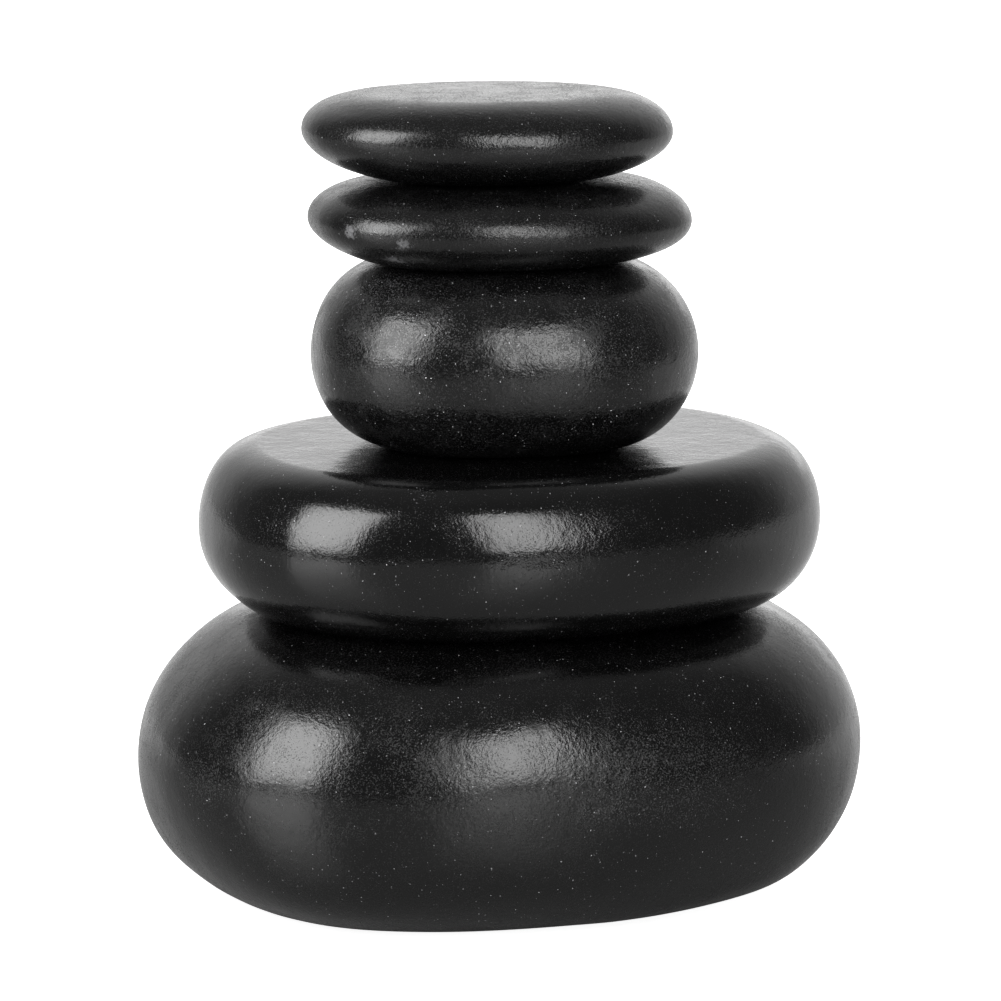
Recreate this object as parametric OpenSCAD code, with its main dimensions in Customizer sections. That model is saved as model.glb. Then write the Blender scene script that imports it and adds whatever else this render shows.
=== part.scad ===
// A pile of five polished basalt massage stones, each one resting loose on the stone below.
// Lengths are millimetres. +Z is up, +X is to the right and -Y is the front of the pile.
// The underside of the base stone lies on Z = 0 and the base stone's outline is centred on X = Y = 0.
// Each stone is a closed pebble: an oval plan outline carried up through a rounded section,
// with a small level flat underneath and on top where the stones meet.

/* [All stones] */
// Fullness of the flank below the widest rim, where 2 is a plain ellipse
under_power = 2.2; // [1.8:0.05:3]
// Fullness of the shoulder above the widest rim, where 2 is a plain ellipse
shoulder_power = 2.15; // [1.8:0.05:3]
// Flat steps around each stone
around_steps = 60; // [32:4:64]
// Flat steps up the section of each stone
section_steps = 24; // [16:2:28]

/* [Base stone] */
// Length of the base stone along its long axis
base_length = 80; // [76:0.5:90]
// Width of the base stone across its long axis
base_width = 63.5; // [56:0.5:70]
// Thickness of the base stone
base_thickness = 31.6; // [24:0.1:36]
// Squareness of the base stone's plan outline, where 2 is a plain ellipse
base_plan_power = 2.35; // [2:0.05:3]
// Turn of the base stone's long axis about the vertical, in degrees
base_turn = 18; // [-30:1:30]
// Bluntness of one end against the other, as a share of the length
base_blunt = 0.01; // [-0.05:0.005:0.05]
// Share of the outline taken by the flat underneath
base_under_flat = 0.64; // [0.4:0.01:0.7]
// Share of the outline taken by the flat on top
base_top_flat = 0.56; // [0.4:0.01:0.7]
// Height of the widest rim above the middle of the thickness
base_rim_rise = -0.7; // [-3:0.1:3]
// Extra height of the rim on the right, and as much less on the left
base_rim_lean = 0.4; // [-1:0.1:1]

/* [Broad stone] */
// Length of the broad stone along its long axis
broad_length = 68.8; // [60:0.1:74]
// Width of the broad stone across its long axis
broad_width = 55.4; // [48:0.1:60]
// Thickness of the broad stone
broad_thickness = 17.9; // [14:0.1:22]
// Squareness of the broad stone's plan outline, where 2 is a plain ellipse
broad_plan_power = 2.25; // [2:0.05:3]
// Turn of the broad stone's long axis about the vertical, in degrees
broad_turn = 18; // [-30:1:30]
// Bluntness of one end against the other, as a share of the length
broad_blunt = 0; // [-0.05:0.005:0.05]
// Share of the outline taken by the flat underneath
broad_under_flat = 0.74; // [0.4:0.01:0.8]
// Share of the outline taken by the flat on top
broad_top_flat = 0.82; // [0.4:0.01:0.85]
// Height of the widest rim above the middle of the thickness
broad_rim_rise = 0.1; // [-2:0.1:2]
// Extra height of the rim on the right, and as much less on the left
broad_rim_lean = 0.2; // [-1:0.1:1]
// How far right of the base stone's middle the broad stone sits
broad_right = 1; // [-4:0.1:4]
// How far behind the base stone's middle the broad stone sits
broad_back = 0.5; // [-2:0.1:2]

/* [Round stone] */
// Length of the round stone along its long axis
round_length = 42.2; // [38:0.1:48]
// Width of the round stone across its long axis
round_width = 35.9; // [33:0.1:42]
// Thickness of the round stone
round_thickness = 20.3; // [16:0.1:24]
// Squareness of the round stone's plan outline, where 2 is a plain ellipse
round_plan_power = 2.4; // [2:0.05:3]
// Turn of the round stone's long axis about the vertical, in degrees
round_turn = 7; // [-30:1:30]
// Bluntness of one end against the other, as a share of the length
round_blunt = 0.025; // [-0.05:0.005:0.05]
// Share of the outline taken by the flat underneath
round_under_flat = 0.5; // [0.4:0.01:0.7]
// Share of the outline taken by the flat on top
round_top_flat = 0.56; // [0.4:0.01:0.7]
// Height of the widest rim above the middle of the thickness
round_rim_rise = -0.3; // [-2:0.1:2]
// Extra height of the rim on the right, and as much less on the left
round_rim_lean = 0.2; // [-1:0.1:1]
// How far right of the base stone's middle the round stone sits
round_right = 0.4; // [-4:0.1:4]
// How far behind the base stone's middle the round stone sits
round_back = -0.4; // [-4:0.1:4]

/* [Thin stone] */
// Length of the thin stone along its long axis
thin_length = 42; // [38:0.1:48]
// Width of the thin stone across its long axis
thin_width = 32.6; // [30:0.1:40]
// Thickness of the thin stone
thin_thickness = 8.8; // [7:0.1:12]
// Squareness of the thin stone's plan outline, where 2 is a plain ellipse
thin_plan_power = 2.3; // [2:0.05:3]
// Turn of the thin stone's long axis about the vertical, in degrees
thin_turn = 10; // [-30:1:30]
// Bluntness of one end against the other, as a share of the length
thin_blunt = 0.01; // [-0.05:0.005:0.05]
// Share of the outline taken by the flat underneath
thin_under_flat = 0.48; // [0.4:0.01:0.7]
// Share of the outline taken by the flat on top
thin_top_flat = 0.59; // [0.35:0.01:0.7]
// Height of the widest rim above the middle of the thickness
thin_rim_rise = 0.1; // [-1:0.1:1]
// Extra height of the rim on the right, and as much less on the left
thin_rim_lean = -0.2; // [-0.5:0.1:0.5]
// How far right of the base stone's middle the thin stone sits
thin_right = -0.1; // [-4:0.1:4]
// How far behind the base stone's middle the thin stone sits
thin_back = -0.6; // [-4:0.1:4]

/* [Top stone] */
// Length of the top stone along its long axis
top_length = 40.7; // [36:0.1:46]
// Width of the top stone across its long axis
top_width = 30.8; // [28:0.1:38]
// Thickness of the top stone
top_thickness = 9.4; // [7:0.1:12]
// Squareness of the top stone's plan outline, where 2 is a plain ellipse
top_plan_power = 2.2; // [2:0.05:3]
// Turn of the top stone's long axis about the vertical, in degrees
top_turn = 7; // [-30:1:30]
// Bluntness of one end against the other, as a share of the length
top_blunt = -0.01; // [-0.05:0.005:0.05]
// Share of the outline taken by the flat underneath
top_under_flat = 0.38; // [0.35:0.01:0.7]
// Share of the outline taken by the flat on top
top_top_flat = 0.58; // [0.35:0.01:0.7]
// Height of the widest rim above the middle of the thickness
top_rim_rise = 0.5; // [-1:0.1:1]
// Extra height of the rim on the right, and as much less on the left
top_rim_lean = -0.2; // [-0.5:0.1:0.5]
// How far right of the base stone's middle the top stone sits
top_right = -1.4; // [-4:0.1:4]
// How far behind the base stone's middle the top stone sits
top_back = 0.5; // [-4:0.1:4]

/* [Hidden] */
// Resting heights: each stone sits on the flat top of the one below.
broad_rest = base_thickness;
round_rest = broad_rest + broad_thickness;
thin_rest = round_rest + round_thickness;
top_rest = thin_rest + thin_thickness;

// Skin taken off the top and bottom of each pebble, which leaves its two flats truly level.
level_skin = 0.02;

// Greys of polished basalt, a little different from stone to stone.
base_grey = [0.11, 0.11, 0.12];
broad_grey = [0.08, 0.08, 0.09];
round_grey = [0.12, 0.12, 0.12];
thin_grey = [0.1, 0.1, 0.11];
top_grey = [0.13, 0.13, 0.14];

// How far a plan outline reaches from its centre in the direction "angle".
function plan_reach(angle, length, width, plan_power, turn, blunt) =
    let (
        along = cos(angle - turn),
        across = sin(angle - turn),
        oval = pow(2 * abs(along) / length, plan_power) + pow(2 * abs(across) / width, plan_power)
    )
    pow(oval, -1 / plan_power) * (1 + blunt * along);

// Share of the plan outline reached at the section angle "tilt", from -90 at the bottom to 90 at the top.
function section_share(tilt, under_flat, top_flat) =
    let (
        flat = tilt < 0 ? under_flat : top_flat,
        fullness = tilt < 0 ? under_power : shoulder_power
    )
    flat + (1 - flat) * pow(max(0, cos(tilt)), 2 / fullness);

// Middle of the box around a plan outline.
function box_middle(outline) =
    let (
        xs = [for (p = outline) p[0]],
        ys = [for (p = outline) p[1]]
    )
    [(min(xs) + max(xs)) / 2, (min(ys) + max(ys)) / 2];

// One pebble with its lower flat on Z = 0 and the box around its outline centred on X = Y = 0.
module pebble(
    length, width, thickness, plan_power, turn, blunt,
    under_flat, top_flat, rim_rise, rim_lean
) {
    angles = [for (i = [0:around_steps - 1]) 360 * i / around_steps];
    tilts = [for (j = [0:section_steps]) 180 * j / section_steps - 90];
    outline = [
        for (a = angles)
            plan_reach(a, length, width, plan_power, turn, blunt) * [cos(a), sin(a)]
    ];
    middle = box_middle(outline);
    half_height = thickness / 2 + level_skin;
    points = [
        for (t = tilts)
            let (share = section_share(t, under_flat, top_flat))
            for (i = [0:around_steps - 1])
                [
                    outline[i][0] * share - middle[0],
                    outline[i][1] * share - middle[1],
                    thickness / 2 + half_height * sin(t)
                        + (rim_rise + rim_lean * cos(angles[i])) * pow(cos(t), 2)
                ]
    ];
    flanks = [
        for (j = [0:section_steps - 1])
            for (i = [0:around_steps - 1])
                let (
                    next = (i + 1) % around_steps,
                    low = j * around_steps,
                    high = low + around_steps
                )
                each [
                    [low + i, high + i, high + next],
                    [low + i, high + next, low + next]
                ]
    ];
    bottom = [for (i = [0:around_steps - 1]) i];
    top = [for (i = [0:around_steps - 1]) section_steps * around_steps + around_steps - 1 - i];
    intersection() {
        polyhedron(points = points, faces = concat(flanks, [bottom], [top]), convexity = 2);
        translate([-length, -length, 0])
            cube([2 * length, 2 * length, thickness]);
    }
}

module base_stone() {
    color(base_grey)
        pebble(
            base_length, base_width, base_thickness, base_plan_power, base_turn, base_blunt,
            base_under_flat, base_top_flat, base_rim_rise, base_rim_lean
        );
}

module broad_stone() {
    color(broad_grey)
        translate([broad_right, broad_back, broad_rest])
            pebble(
                broad_length, broad_width, broad_thickness, broad_plan_power, broad_turn, broad_blunt,
                broad_under_flat, broad_top_flat, broad_rim_rise, broad_rim_lean
            );
}

module round_stone() {
    color(round_grey)
        translate([round_right, round_back, round_rest])
            pebble(
                round_length, round_width, round_thickness, round_plan_power, round_turn, round_blunt,
                round_under_flat, round_top_flat, round_rim_rise, round_rim_lean
            );
}

module thin_stone() {
    color(thin_grey)
        translate([thin_right, thin_back, thin_rest])
            pebble(
                thin_length, thin_width, thin_thickness, thin_plan_power, thin_turn, thin_blunt,
                thin_under_flat, thin_top_flat, thin_rim_rise, thin_rim_lean
            );
}

module top_stone() {
    color(top_grey)
        translate([top_right, top_back, top_rest])
            pebble(
                top_length, top_width, top_thickness, top_plan_power, top_turn, top_blunt,
                top_under_flat, top_top_flat, top_rim_rise, top_rim_lean
            );
}

base_stone();
broad_stone();
round_stone();
thin_stone();
top_stone();
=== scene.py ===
import math

import bpy
import numpy as np
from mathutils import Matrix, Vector


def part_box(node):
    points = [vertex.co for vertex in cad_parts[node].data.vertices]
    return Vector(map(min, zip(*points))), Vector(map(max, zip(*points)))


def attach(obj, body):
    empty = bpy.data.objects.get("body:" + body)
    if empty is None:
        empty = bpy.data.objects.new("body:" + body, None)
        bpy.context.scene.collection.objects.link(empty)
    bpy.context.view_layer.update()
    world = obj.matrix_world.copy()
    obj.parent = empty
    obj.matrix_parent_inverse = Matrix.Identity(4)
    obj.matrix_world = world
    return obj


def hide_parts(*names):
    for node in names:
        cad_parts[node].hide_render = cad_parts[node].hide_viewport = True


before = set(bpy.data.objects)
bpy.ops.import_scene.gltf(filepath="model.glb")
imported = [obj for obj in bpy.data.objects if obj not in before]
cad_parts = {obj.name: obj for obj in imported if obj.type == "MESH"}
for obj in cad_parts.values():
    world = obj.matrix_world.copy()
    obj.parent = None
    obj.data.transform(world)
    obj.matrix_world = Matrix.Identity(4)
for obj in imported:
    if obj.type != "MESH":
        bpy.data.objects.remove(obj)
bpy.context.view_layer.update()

# The frame is in metres. Stone sizes, marks and material scales are in millimetres below.
MM = 0.001

# ---------------------------------------------------------------- stones
# The same pebble rule as the CAD model, in millimetres and degrees. Where each stone lies
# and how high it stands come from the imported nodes' boxes. around and up: mesh steps;
# uneven: height of the hand-worn unevenness, drawn from seed.
UNDER_POWER = 2.2
SHOULDER_POWER = 2.15
STONES = {
    "base_stone": dict(
        body="base", slot="base_basalt", length=80, width=63.5, plan_power=2.35, turn=18,
        blunt=0.01, under_flat=0.64, top_flat=0.56, rim_rise=-0.7, rim_lean=0.4,
        around=448, up=190, seed=317, uneven=0.13,
    ),
    "broad_stone": dict(
        body="broad", slot="broad_basalt", length=68.8, width=55.4, plan_power=2.25, turn=18,
        blunt=0, under_flat=0.74, top_flat=0.82, front_wear=0.03, rim_rise=0.1, rim_lean=0.2,
        around=420, up=150, seed=188, uneven=0.09,
    ),
    "round_stone": dict(
        body="round", slot="round_basalt", length=42.2, width=35.9, plan_power=2.4, turn=7,
        blunt=0.025, under_flat=0.5, top_flat=0.56, rim_rise=-0.3, rim_lean=0.2,
        around=340, up=160, seed=14, uneven=0.09,
    ),
    "thin_stone": dict(
        body="thin", slot="thin_basalt", length=42, width=32.6, plan_power=2.3, turn=10,
        blunt=0.01, under_flat=0.48, top_flat=0.59, rim_rise=0.1, rim_lean=-0.2,
        around=340, up=110, seed=67, uneven=0.11,
    ),
    "top_stone": dict(
        body="top", slot="top_basalt", length=40.7, width=30.8, plan_power=2.2, turn=7,
        blunt=-0.01, under_flat=0.38, top_flat=0.58, rim_rise=0.5, rim_lean=-0.2,
        around=340, up=110, seed=262, uneven=0.09,
    ),
}
CAP_RINGS = 14
# the front wear stays close to the edge of the top face
WEAR_POWER = 16
# shortest wave, longest wave and number of waves of the two layers of unevenness
LONG_WAVES = (14, 30, 26)
SHORT_WAVES = (4, 9, 30)
SHORT_HEIGHT = 0.007
# the unevenness fades out over this height towards the flats where stones touch
CONTACT_FADE = 1.2
# how far below the surface a mark still counts
MARK_REACH = 3


def plan_reach(angle, s):
    """How far the plan outline reaches from its centre in each direction, in millimetres."""
    along = np.cos(angle - math.radians(s["turn"]))
    across = np.sin(angle - math.radians(s["turn"]))
    oval = (
        np.abs(2 * along / s["length"]) ** s["plan_power"]
        + np.abs(2 * across / s["width"]) ** s["plan_power"]
    )
    return oval ** (-1 / s["plan_power"]) * (1 + s["blunt"] * along)


def pebble_points(node, s):
    """Rings of points from the middle of the underside to the middle of the top, in mm."""
    low, high = (np.array(c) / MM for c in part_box(node))
    thickness = high[2] - low[2]
    angle = np.linspace(0, 2 * math.pi, s["around"], endpoint=False)
    reach = plan_reach(angle, s)
    outline = np.stack([reach * np.cos(angle), reach * np.sin(angle)], -1)
    middle = (outline.min(0) + outline.max(0)) / 2
    centre = (low[:2] + high[:2]) / 2 - middle
    tilt = np.linspace(-math.pi / 2, math.pi / 2, s["up"] + 1)
    flat = np.where(tilt < 0, s["under_flat"], s["top_flat"])
    power = np.where(tilt < 0, UNDER_POWER, SHOULDER_POWER)
    share = flat + (1 - flat) * np.clip(np.cos(tilt), 0, 1) ** (2 / power)
    inner = np.linspace(0, 1, CAP_RINGS, endpoint=False)[1:]
    share = np.concatenate([s["under_flat"] * inner, share, (s["top_flat"] * inner)[::-1]])
    tilt = np.concatenate([np.full(len(inner), tilt[0]), tilt, np.full(len(inner), tilt[-1])])
    # the top face is worn back a little more on the front side
    worn = s.get("front_wear", 0) * (1 - np.sin(angle)) / 2
    share = share[:, None] - worn * np.clip(np.sin(tilt), 0, 1)[:, None] ** WEAR_POWER
    rim = (s["rim_rise"] + s["rim_lean"] * np.cos(angle))[None] * (np.cos(tilt) ** 2)[:, None]
    height = low[2] + thickness / 2 * (1 + np.sin(tilt))[:, None] + rim
    flat_part = centre + outline[None] * share[..., None]
    rings = np.concatenate([flat_part, height[..., None]], -1)
    poles = np.array([[*centre, low[2]], [*centre, high[2]]])
    return rings, poles, (low, high)


def waves(points, shortest, longest, count, rng):
    """A smooth field of plane waves between two lengths, with a spread of about 1."""
    total = np.zeros(points.shape[:-1])
    for _ in range(count):
        way = rng.normal(size=3)
        way *= 2 * math.pi / np.linalg.norm(way) / rng.uniform(shortest, longest)
        total += np.sin(points @ way + rng.uniform(0, 2 * math.pi))
    return total / math.sqrt(count / 2)


# Small marks on the stones: where round the stone and how high up its section (degrees),
# how far across and along (mm), how deep (mm, negative stands proud) and how it is turned.
MARKS = {
    "base_stone": [
        dict(at=(265, -38), size=(25, 7), depth=-0.25, turn=0),
        dict(at=(236, -32), size=(12, 6), depth=-0.30, turn=0),
        dict(at=(290, -1), size=(2.2, 0.5), depth=0.03, turn=8),
        dict(at=(216, 8), size=(1.4, 0.6), depth=0.04, turn=20),
        dict(at=(244, 57), size=(2.2, 0.35), depth=-0.04, turn=-12),
        dict(at=(130, 15), size=(1.8, 0.7), depth=0.05, turn=35),
        dict(at=(20, -20), size=(1.2, 0.8), depth=0.06, turn=0),
    ],
    "broad_stone": [
        dict(at=(278, 6), size=(2.4, 0.8), depth=0.05, turn=10),
        dict(at=(251, 64), size=(1.2, 0.3), depth=-0.04, turn=-6),
        dict(at=(220, 26), size=(0.5, 0.25), depth=-0.03, turn=30),
        dict(at=(95, 12), size=(1.5, 0.5), depth=0.06, turn=-10),
        dict(at=(12, 30), size=(1.1, 0.4), depth=0.05, turn=25),
    ],
    "round_stone": [
        dict(at=(251, 32), size=(0.7, 0.4), depth=-0.05, turn=30),
        dict(at=(220, 57), size=(1.2, 0.9), depth=0.05, turn=-20),
        dict(at=(330, 5), size=(1.1, 0.6), depth=0.015, turn=15),
        dict(at=(80, 10), size=(1.3, 0.6), depth=0.05, turn=0),
    ],
    "thin_stone": [
        dict(at=(218, 0), size=(0.55, 0.35), depth=0.09, turn=0),
        dict(at=(237, -10), size=(0.65, 0.35), depth=0.08, turn=15),
        dict(at=(230, -39), size=(0.7, 0.3), depth=0.08, turn=0),
        dict(at=(60, 5), size=(0.8, 0.4), depth=0.06, turn=-20),
    ],
    "top_stone": [
        dict(at=(222, -5), size=(0.5, 0.3), depth=0.05, turn=0),
        dict(at=(318, -12), size=(0.5, 0.3), depth=0.05, turn=25),
        dict(at=(110, 8), size=(0.9, 0.35), depth=0.05, turn=10),
    ],
}


def mark_depth(m, rings, normal, round_way, angle, tilt, clear):
    """How deep one mark goes at every point of the stone."""
    off = ((angle - m["at"][0]) / 2) ** 2 + (tilt - m["at"][1]) ** 2
    at = np.argmin(off + 1e6 * (clear < 0.5))
    spot = rings.reshape(-1, 3)[at]
    out = normal.reshape(-1, 3)[at]
    side = round_way.reshape(-1, 3)[at]
    side = side / np.linalg.norm(side)
    rise = np.cross(out, side)
    a = math.radians(m["turn"])
    across = (rings - spot) @ (math.cos(a) * side + math.sin(a) * rise) / m["size"][0]
    along = (rings - spot) @ (math.cos(a) * rise - math.sin(a) * side) / m["size"][1]
    deep = (rings - spot) @ out / MARK_REACH
    return m["depth"] * np.exp(-(across ** 2 + along ** 2 + deep ** 2))


def build_stone(node, s):
    """One closed pebble: quads round the rings and a fan at each pole."""
    rings, poles, (low, high) = pebble_points(node, s)
    count, around = rings.shape[:2]
    rng = np.random.RandomState(s["seed"])

    # outward normals from the rings' own neighbours
    round_way = np.roll(rings, -1, 1) - np.roll(rings, 1, 1)
    normal = np.cross(round_way, np.gradient(rings, axis=0))
    normal /= np.linalg.norm(normal, axis=-1, keepdims=True) + 1e-9

    # hand-worn unevenness, fading out where the stone touches the one above and below
    gap = np.minimum(rings[..., 2] - low[2], high[2] - rings[..., 2])
    clear = np.clip(gap / CONTACT_FADE, 0, 1)
    clear = clear * clear * (3 - 2 * clear)
    bumps = s["uneven"] * waves(rings, *LONG_WAVES, rng) + SHORT_HEIGHT * waves(rings, *SHORT_WAVES, rng)
    push = clear * bumps
    angle = np.linspace(0, 360, around, endpoint=False)[None]
    level = 2 * (rings[..., 2] - low[2]) / (high[2] - low[2]) - 1
    tilt = np.degrees(np.arcsin(np.clip(level, -1, 1)))
    for m in MARKS[node]:
        push -= mark_depth(m, rings, normal, round_way, angle, tilt, clear)
    rings = rings + normal * push[..., None]
    rings[..., 2] = np.clip(rings[..., 2], low[2], high[2])

    verts = np.concatenate([rings.reshape(-1, 3), poles]) * MM
    ring, step = np.meshgrid(np.arange(count - 1), np.arange(around), indexing="ij")
    here, nxt = ring * around + step, ring * around + (step + 1) % around
    quads = np.stack([here, nxt, nxt + around, here + around], -1).reshape(-1, 4)
    step = np.arange(around)
    nxt = (step + 1) % around
    last = (count - 1) * around
    bottom = np.stack([nxt, step, np.full(around, count * around)], -1)
    top = np.stack([last + step, last + nxt, np.full(around, count * around + 1)], -1)
    mesh = bpy.data.meshes.new(node + "_polished")
    mesh.from_pydata(verts.tolist(), [], quads.tolist() + bottom.tolist() + top.tolist())
    mesh.polygons.foreach_set("use_smooth", np.ones(len(mesh.polygons), bool))
    mesh.update()
    stone = bpy.data.objects.new(node + "_polished", mesh)
    bpy.context.collection.objects.link(stone)
    return stone


# ---------------------------------------------------------------- node trees
class Nodes:
    """Short calls for building a node tree. An input may be a number or another output."""

    def __init__(self, tree):
        self.tree = tree
        tree.nodes.clear()

    def put(self, socket, v):
        if isinstance(v, bpy.types.NodeSocket):
            self.tree.links.new(v, socket)
        else:
            socket.default_value = v

    def add(self, kind, **inputs):
        n = self.tree.nodes.new(kind)
        for k, v in inputs.items():
            self.put(n.inputs[k.replace("_", " ")], v)
        return n

    def math(self, op, a, b=0.0, clamp=False):
        n = self.tree.nodes.new("ShaderNodeMath")
        n.operation, n.use_clamp = op, clamp
        self.put(n.inputs[0], a)
        self.put(n.inputs[1], b)
        return n.outputs[0]

    def plus(self, a, b, clamp=False):
        return self.math("ADD", a, b, clamp)

    def times(self, a, b):
        return self.math("MULTIPLY", a, b)

    def minus(self, a, b):
        return self.math("SUBTRACT", a, b)

    def sway(self, v, reach):
        """A 0 to 1 field turned into one that sways about zero."""
        return self.times(self.minus(v, 0.5), reach)

    def span(self, v, a, b, c=0.0, d=1.0, smooth=True):
        """Maps a..b to c..d, held at both ends."""
        n = self.tree.nodes.new("ShaderNodeMapRange")
        n.interpolation_type = "SMOOTHSTEP" if smooth else "LINEAR"
        for name, x in zip(("Value", "From Min", "From Max", "To Min", "To Max"), (v, a, b, c, d)):
            self.put(n.inputs[name], x)
        return n.outputs["Result"]

    def vector(self, op, a, b=(0.0, 0.0, 0.0)):
        n = self.tree.nodes.new("ShaderNodeVectorMath")
        n.operation = op
        self.put(n.inputs[0], a)
        self.put(n.inputs[1], b)
        return n.outputs["Value" if op in ("LENGTH", "DOT_PRODUCT") else "Vector"]

    def noise(self, where, wavelength_mm, detail=2.0, rough=0.5, shift=0.0):
        moved = self.vector("ADD", where, (shift, shift * 0.7, -shift))
        n = self.add("ShaderNodeTexNoise", Vector=moved, Scale=1 / (wavelength_mm * MM),
                     Detail=detail, Roughness=rough)
        return n.outputs["Fac"]

    def cells(self, where, spacing_mm, shift=0.0):
        """Distance to the nearest cell point, and two random numbers of that cell."""
        moved = self.vector("ADD", where, (shift, -shift, shift * 0.3))
        n = self.add("ShaderNodeTexVoronoi", Vector=moved, Scale=1 / (spacing_mm * MM))
        pick = self.add("ShaderNodeSeparateColor", Color=n.outputs["Color"])
        return n.outputs["Distance"], pick.outputs[0], pick.outputs[1]

    def ramp(self, fac, stops):
        """A ramp of greys, given as (position, grey) pairs."""
        n = self.add("ShaderNodeValToRGB", Fac=fac)
        elements = n.color_ramp.elements
        while len(elements) < len(stops):
            elements.new(0.5)
        for element, (position, value) in zip(elements, stops):
            element.position, element.color = position, grey(value)
        return n.outputs[0]

    def mix(self, fac, a, b):
        n = self.tree.nodes.new("ShaderNodeMix")
        n.data_type = "RGBA"
        for i, v in ((0, fac), (6, a), (7, b)):
            self.put(n.inputs[i], v)
        return n.outputs[2]

    def for_camera(self, others, camera):
        """One shader for camera rays and another for everything else."""
        n = self.add("ShaderNodeMixShader")
        self.put(n.inputs[0], self.add("ShaderNodeLightPath").outputs["Is Camera Ray"])
        self.put(n.inputs[1], others)
        self.put(n.inputs[2], camera)
        return n.outputs[0]


def grey(v):
    return (v, v, v, 1.0)


def new_material(name):
    mat = bpy.data.materials.new(name)
    mat.use_nodes = True
    return mat, Nodes(mat.node_tree)


# ---------------------------------------------------------------- basalt
# black: body tone; sharp and broad: the two polish levels mixed grain by grain, and share:
# how much of the broad one; peel: height of the grain; speck and dust: how many pale grains;
# mottle: how cloudy the polish is over a few millimetres; shift: moves the patterns about.
LOOKS = {
    "base_stone": dict(
        black=0.0013, sharp=0.16, broad=0.42, share=0.36, peel=1.15,
        speck=1.1, dust=0.22, mottle=0.3, shift=0.013,
    ),
    "broad_stone": dict(
        black=0.0016, sharp=0.12, broad=0.32, share=0.30, peel=0.8,
        speck=0.95, dust=0.14, mottle=0.1, shift=0.057,
    ),
    "round_stone": dict(
        black=0.0028, sharp=0.17, broad=0.38, share=0.50, peel=1.5,
        speck=1.9, dust=1.0, mottle=0.7, shift=0.101,
    ),
    "thin_stone": dict(
        black=0.0022, sharp=0.22, broad=0.42, share=0.45, peel=1.35,
        speck=1.1, dust=0.40, mottle=0.3, shift=0.149,
    ),
    "top_stone": dict(
        black=0.0032, sharp=0.21, broad=0.40, share=0.42, peel=1.4,
        speck=1.1, dust=0.50, mottle=0.3, shift=0.203,
    ),
}

# Worn places: middle and half-size in mm, how coarse the grain is there, and how much pale
# dust lies in it. More than BRUISE of dust is a bruise that broke through to pale stone.
# On the base stone's front right place the pale dust is painted sheen, the glow beside its right
# highlight.
BRUISE = 1
WORN = {
    "base_stone": [
        # first place: coarser grain, and pale dust that is painted sheen beside the right highlight
        ((20, -28, 18.5), (15, 10, 6.5), 1.5, 1.0), ((-32, -24, 17), (5, 5, 3), 0.3, 0.7),
        ((10.5, -30, 15), (4, 4, 1.6), 0.2, 0.6), ((-4, 30, 17), (16, 8, 8), 0.4, 0.3),
    ],
    "broad_stone": [
        ((12, -25, 43), (9, 6, 3.5), 0.25, 0.1), ((-24, -21, 44), (2.5, 3, 1), 0.2, 0.5),
        ((-8, -26, 48.6), (1.5, 2, 0.8), 0.2, 0.8), ((18, 22, 40), (10, 8, 5), 0.3, 0.2),
    ],
    "round_stone": [
        ((-13, -11, 68), (5, 4, 3), 0.5, 0.8), ((-6, -17, 65), (3, 3, 2.2), 0.4, 0.8),
        ((13, -14, 62), (6, 5, 5), 0.4, 0.4), ((4, 17, 60), (9, 5, 6), 0.4, 0.4),
    ],
    "thin_stone": [
        ((-16, -13.2, 74.5), (0.9, 0.9, 0.8), 0.5, 2.0),
        ((-10.4, -16.2, 73.6), (0.9, 0.9, 0.7), 0.5, 2.0),
        ((-11.3, -14, 71.6), (1.2, 0.9, 0.6), 0.5, 2.0),
        ((10, -13, 75), (6, 4, 2), 0.3, 0.2),
    ],
    "top_stone": [
        ((10, -12, 83), (7, 4, 2), 0.3, 0.2), ((-8, 11, 83), (6, 4, 2), 0.3, 0.3),
    ],
}

# pale specks: spacing (mm), largest reach (share of the spacing), how rare the bright ones
# are, their tone, and the pattern's shift
SPECKS = ((0.32, 0.25, 2.4, 0.50, 0.0), (0.80, 0.105, 1.8, 0.60, 0.41))
PIT_SPACING, PIT_REACH, PIT_SHIFT = 0.8, 0.17, 0.7
DUST_TONE = 0.075
# heights (mm) of the polish's relief
GRAIN_HEIGHT, FINE_HEIGHT, RIPPLE_HEIGHT, PIT_DEPTH = 0.026, 0.010, 0.020, 0.008
# how much higher the grain stands on the worn places
WORN_GRAIN = 0.9
BASALT_IOR = 1.55
BLUE_TINT = 1.03


def worn_places(n, here, node, patch, grain):
    """How worn the stone is, how much pale dust and painted sheen lie on it, and how bruised, as three
    fields.
    """
    worn = dust_and_sheen = bruised = 0.0
    for middle, size, strength, pale in WORN[node]:
        off = n.vector("SUBTRACT", here, [c * MM for c in middle])
        far = n.vector("LENGTH", n.vector("DIVIDE", off, [c * MM for c in size]))
        near = n.span(n.plus(far, n.sway(patch, 1.2)), 1.15, 0.35)
        worn = n.plus(n.times(near, strength), worn)
        if pale > BRUISE:
            broken = n.plus(n.plus(far, n.sway(grain, 3.2)), n.sway(patch, 1.6))
            bruised = n.math("MAXIMUM", n.span(broken, 0.95, 0.45), bruised)
        else:
            # pale dust, which on the base stone's front right place is painted sheen
            dust_and_sheen = n.plus(n.times(near, pale), dust_and_sheen)
    return worn, dust_and_sheen, bruised


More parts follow.
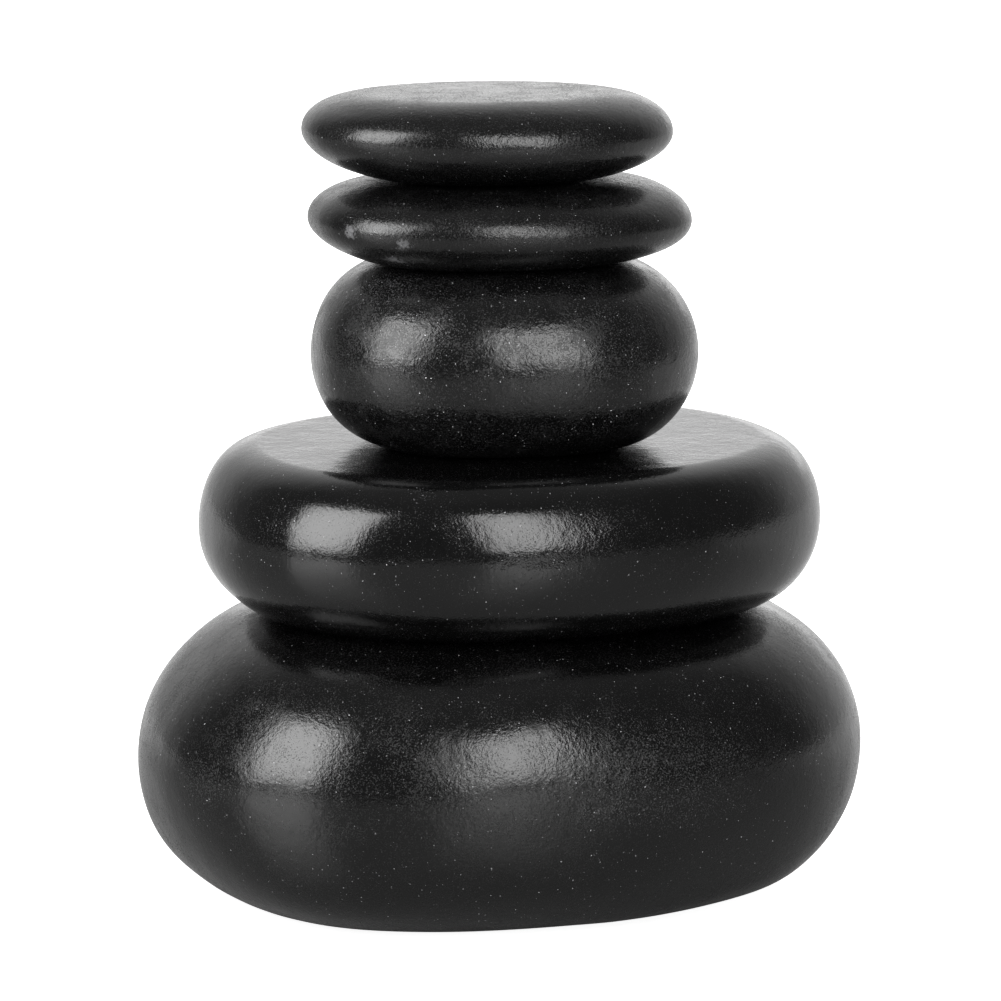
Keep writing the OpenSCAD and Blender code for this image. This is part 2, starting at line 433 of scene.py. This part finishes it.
def specks(n, here, wavy, look):
    """Pale mineral specks, gathered loosely into clusters: their tone and their outline."""
    gather = n.span(n.noise(here, 4.5, 4, 0.7, look["shift"] + 2.7), 0.38, 0.66, 0.35, 1.5)
    bright = spots = 0.0
    for spacing, reach, rarity, tone, offset in SPECKS:
        dist, size_pick, tone_pick = n.cells(wavy, spacing, look["shift"] + offset)
        size = n.span(size_pick, 0.45, 1.0, 0.0, reach)
        spot = n.span(n.minus(size, dist), 0.0, reach * 0.4)
        shade = n.times(n.math("POWER", tone_pick, rarity), tone * look["speck"])
        bright = n.plus(n.times(spot, n.times(shade, gather)), bright)
        spots = n.math("MAXIMUM", spot, spots)
    return bright, spots


def basalt(node, look):
    """Polished black basalt: fine grain, mineral specks, tiny pits painted darker as shade, worn places,
    and painted sheen on the base stone.
    """
    mat, n = new_material("basalt_" + node)
    here = n.add("ShaderNodeTexCoord").outputs["Object"]
    shift = look["shift"]
    cloud = n.noise(here, 9, 4, 0.6, shift)
    patch = n.noise(here, 3.2, 5, 0.65, shift + 0.3)
    grain = n.noise(here, 0.42, 2, 0.6, shift + 0.5)
    fine = n.noise(here, 0.20, 1, 0.5, shift + 0.9)
    flake = n.noise(here, 0.17, 2, 0.6, shift + 1.7)
    ripple = n.noise(here, 1.5, 1, 0.5, shift + 1.3)
    worn, dust_and_sheen, bruised = worn_places(n, here, node, patch, grain)

    # specks and pits take their uneven outlines from a small stirring of the space
    stir = n.add("ShaderNodeTexNoise", Vector=here, Scale=1 / (0.25 * MM), Detail=1.0)
    wavy = n.vector("ADD", here, n.vector("MULTIPLY", stir.outputs["Color"], (0.22 * MM,) * 3))
    bright, spots = specks(n, here, wavy, look)
    pit_dist, pit_pick, _ = n.cells(wavy, PIT_SPACING, shift + PIT_SHIFT)
    pit = n.span(n.minus(n.span(pit_pick, 0.45, 1.0, 0.0, PIT_REACH), pit_dist), 0.0, 0.08)

    # fine pale dust lodged in the grain, thicker on the worn places; on the base stone's front right
    # worn place it is painted sheen, the glow beside the right highlight
    dust_and_sheen_area = n.plus(n.times(n.span(cloud, 0.45, 0.70, 0.35, 1.0), look["dust"]), dust_and_sheen)
    dust = n.times(n.times(dust_and_sheen_area, n.span(flake, 0.54, 0.72)), DUST_TONE)

    # colour
    level = n.times(n.span(patch, 0.3, 0.75, 0.7, 1.5, False), look["black"])
    level = n.plus(n.plus(level, bright), dust)
    level = n.plus(level, n.times(bruised, n.span(grain, 0.3, 0.7, 0.06, 0.22)))
    # painted shade: the colour is darkened in the tiny pits
    level = n.times(level, n.span(pit, 0.0, 1.0, 1.0, 0.3, False))
    colour = n.add("ShaderNodeCombineColor", Red=level, Green=level, Blue=n.times(level, BLUE_TINT))

    # polish: sharp and broad grains side by side, cloudy over a few millimetres
    lean = n.plus(n.sway(cloud, 0.25), n.times(worn, 0.06))
    lean = n.plus(n.sway(patch, look["mottle"]), lean)
    bias = 0.3 * look["share"]
    mixed = n.span(n.plus(flake, lean), 0.60 - bias, 0.78 - bias)
    rough = n.plus(n.times(mixed, look["broad"] - look["sharp"]), look["sharp"])
    rough = n.plus(rough, n.sway(patch, 0.12))
    rough = n.plus(rough, n.times(n.math("MAXIMUM", spots, pit), 0.2))
    rough = n.plus(rough, n.times(bruised, 0.3), clamp=True)

    # orange-peel relief in real heights: grain, finest grain, soft ripple and pits
    uneven = n.span(n.noise(here, 6, 3, 0.6, shift + 2.1), 0.35, 0.65, 0.55, 1.25)
    height = n.plus(n.times(grain, GRAIN_HEIGHT), n.times(fine, FINE_HEIGHT))
    height = n.plus(n.times(height, uneven), n.times(ripple, RIPPLE_HEIGHT))
    height = n.minus(height, n.times(pit, PIT_DEPTH))
    height = n.times(height, n.plus(n.times(worn, WORN_GRAIN), look["peel"]))
    bump = n.add("ShaderNodeBump", Strength=1.0, Distance=MM, Height=height)

    shader = n.add(
        "ShaderNodeBsdfPrincipled", Base_Color=colour.outputs[0], Roughness=rough,
        IOR=BASALT_IOR, Normal=bump.outputs[0],
    )
    n.add("ShaderNodeOutputMaterial", Surface=shader.outputs[0])
    return mat


for node, s in STONES.items():
    stone = build_stone(node, s)
    stone.data.materials.append(basalt(node, LOOKS[node]))
    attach(stone, s["body"])
    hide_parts(node)

# ---------------------------------------------------------------- studio
PILE_MIDDLE = Vector((0, 0, 0.045))
SOFTBOX_DISTANCE = 1.0


def towards(azimuth, elevation):
    """Unit vector from the pile; azimuth 0 is the front (-Y) and positive is to the right."""
    a, e = math.radians(azimuth), math.radians(elevation)
    return Vector((math.sin(a) * math.cos(e), -math.cos(a) * math.cos(e), math.sin(e)))


def plate(name, width, height, place, normal):
    """A flat rectangle facing along normal, upright."""
    w, h = width / 2, height / 2
    mesh = bpy.data.meshes.new(name)
    mesh.from_pydata([(-w, -h, 0), (w, -h, 0), (w, h, 0), (-w, h, 0)], [], [(0, 1, 2, 3)])
    o = bpy.data.objects.new(name, mesh)
    bpy.context.collection.objects.link(o)
    o.location = place
    o.rotation_mode = "QUATERNION"
    o.rotation_quaternion = normal.to_track_quat("Z", "Y")
    return o


def softbox(name, azimuth, elevation, width, height, strength, pull):
    """A glowing panel with a hot middle and soft edges, seen in reflections only.

    pull is how far each corner (as seen from the pile: lower right, lower left, upper left,
    upper right) is drawn in, as a share of the width.
    """
    way = towards(azimuth, elevation)
    panel = plate(name, width, height, PILE_MIDDLE + way * SOFTBOX_DISTANCE, -way)
    for vert, inward in zip(panel.data.vertices, pull):
        vert.co.x *= 1 - 2 * inward
    panel.data.uv_layers.new(name="panel").data.foreach_set("uv", [0, 0, 1, 0, 1, 1, 0, 1])
    mat, n = new_material(name)
    where = n.add("ShaderNodeSeparateXYZ", Vector=n.add("ShaderNodeTexCoord").outputs["UV"])
    u, v = (n.sway(where.outputs[i], 2.0) for i in (0, 1))
    hot = n.span(n.plus(n.times(u, u), n.times(v, v)), 0.0, 1.6, 1.2, 0.75)
    edge_u, edge_v = (n.span(n.math("ABSOLUTE", c), 0.84, 1.0, 1.0, 0.0) for c in (u, v))
    level = n.times(hot, n.times(edge_u, edge_v))
    glow = n.add("ShaderNodeEmission", Color=grey(1.0), Strength=n.times(level, strength))
    n.add("ShaderNodeOutputMaterial", Surface=glow.outputs[0])
    panel.data.materials.append(mat)
    panel.visible_camera = False
    panel.visible_shadow = False


softbox("softbox_left", -51.5, 23.5, 0.74, 0.85, 6.7, (0.12, 0.0, 0.0, 0.0))
softbox("softbox_right", 19.8, 19.8, 0.40, 0.71, 5.6, (0.0, 0.14, 0.0, 0.10))

# The floor: white paper that glows a little behind the pile and to its right, and is lifted
# to plain white for the camera. Its near edge keeps the dark studio in sight of the fronts.
FLOOR_TONE, FLOOR_ROUGHNESS, FLOOR_IOR = 0.46, 0.32, 1.5
FLOOR_GLOW, FLOOR_GLOW_START, FLOOR_GLOW_FULL = 0.50, -0.03, 0.13
RIGHT_SHARE = 0.35
CAMERA_LIFT = 0.92


def make_floor():
    floor = plate("floor", 1.8, 1.9, Vector((0, 0.5, 0)), Vector((0, 0, 1)))
    mat, n = new_material("white_floor")
    spot = n.add("ShaderNodeNewGeometry").outputs["Position"]
    place = n.add("ShaderNodeSeparateXYZ", Vector=spot)
    behind = n.plus(place.outputs[1], n.times(place.outputs[0], RIGHT_SHARE))
    paper = n.add(
        "ShaderNodeBsdfPrincipled", Base_Color=grey(FLOOR_TONE), Roughness=FLOOR_ROUGHNESS,
        IOR=FLOOR_IOR, Emission_Color=grey(1.0),
        Emission_Strength=n.span(behind, FLOOR_GLOW_START, FLOOR_GLOW_FULL, 0.0, FLOOR_GLOW),
    )
    lift = n.add("ShaderNodeEmission", Color=grey(1.0), Strength=CAMERA_LIFT)
    lit = n.add("ShaderNodeAddShader")
    n.put(lit.inputs[0], paper.outputs[0])
    n.put(lit.inputs[1], lift.outputs[0])
    seen = n.for_camera(paper.outputs[0], lit.outputs[0])
    n.add("ShaderNodeOutputMaterial", Surface=seen)
    floor.data.materials.append(mat)


make_floor()

# The room: a white backdrop behind the pile that fades to a dark studio at the front.
BACKDROP_AZIMUTH = 171
CEILING = 0.24
WHITE_STRENGTH = 1.3
# brightness from straight in front (0) round to the middle of the backdrop (1)
STUDIO = [
    (0.0, 0.13), (0.5, 0.13), (0.6, 0.15), (0.68, 0.22), (0.77, 0.45), (0.86, 0.68),
    (0.935, 0.83), (0.97, 0.93), (1.0, 1.04),
]
# how much of the ceiling shows, from level (0) to straight up (1)
HEIGHT = [(0.0, 0.0), (0.2, 0.0), (0.45, 0.12), (0.72, 0.25), (0.87, 0.62), (0.97, 1.0)]


def make_room():
    world = bpy.data.worlds.new("studio")
    bpy.context.scene.world = world
    world.use_nodes = True
    n = Nodes(world.node_tree)
    way = n.add("ShaderNodeTexCoord").outputs["Generated"]
    back = n.vector("DOT_PRODUCT", way, towards(BACKDROP_AZIMUTH, 0))
    up = n.add("ShaderNodeSeparateXYZ", Vector=way).outputs[2]
    level_len = n.math("SQRT", n.math("MAXIMUM", n.minus(1.0, n.times(up, up)), 0.0001))
    turn = n.math("DIVIDE", back, level_len)
    wall = n.ramp(n.span(turn, -1.0, 1.0, 0.0, 1.0, False), STUDIO)
    sky = n.mix(n.ramp(up, HEIGHT), wall, grey(CEILING))
    # the backdrop is lit from below: brighter low down, close to its middle
    low_glow = n.times(n.span(up, 0.10, 0.21, 0.9, 0.0), n.span(up, 0.0, 0.10))
    low_glow = n.times(low_glow, n.span(turn, 0.90, 0.985))
    room = n.add("ShaderNodeBackground", Color=sky, Strength=n.plus(low_glow, 1.0))
    plain = n.add("ShaderNodeBackground", Color=grey(1.0), Strength=WHITE_STRENGTH)
    seen = n.for_camera(room.outputs[0], plain.outputs[0])
    n.add("ShaderNodeOutputWorld", Surface=seen)


make_room()

# ---------------------------------------------------------------- camera
CAMERA_BACK, CAMERA_UP, CAMERA_DOWN_TILT, LENS, SENSOR = 0.600, 0.1603, 11.085, 199.4, 36
cam = bpy.data.objects.new("camera", bpy.data.cameras.new("camera"))
bpy.context.collection.objects.link(cam)
cam.location = (0, -CAMERA_BACK, CAMERA_UP)
cam.rotation_euler = (math.radians(90 - CAMERA_DOWN_TILT), 0, 0)
cam.data.lens, cam.data.sensor_width = LENS, SENSOR
cam.data.clip_start, cam.data.clip_end = 0.01, 20
bpy.context.scene.camera = cam

view = bpy.context.scene.view_settings
view.view_transform, view.look, view.exposure, view.gamma = "Standard", "None", 0, 1
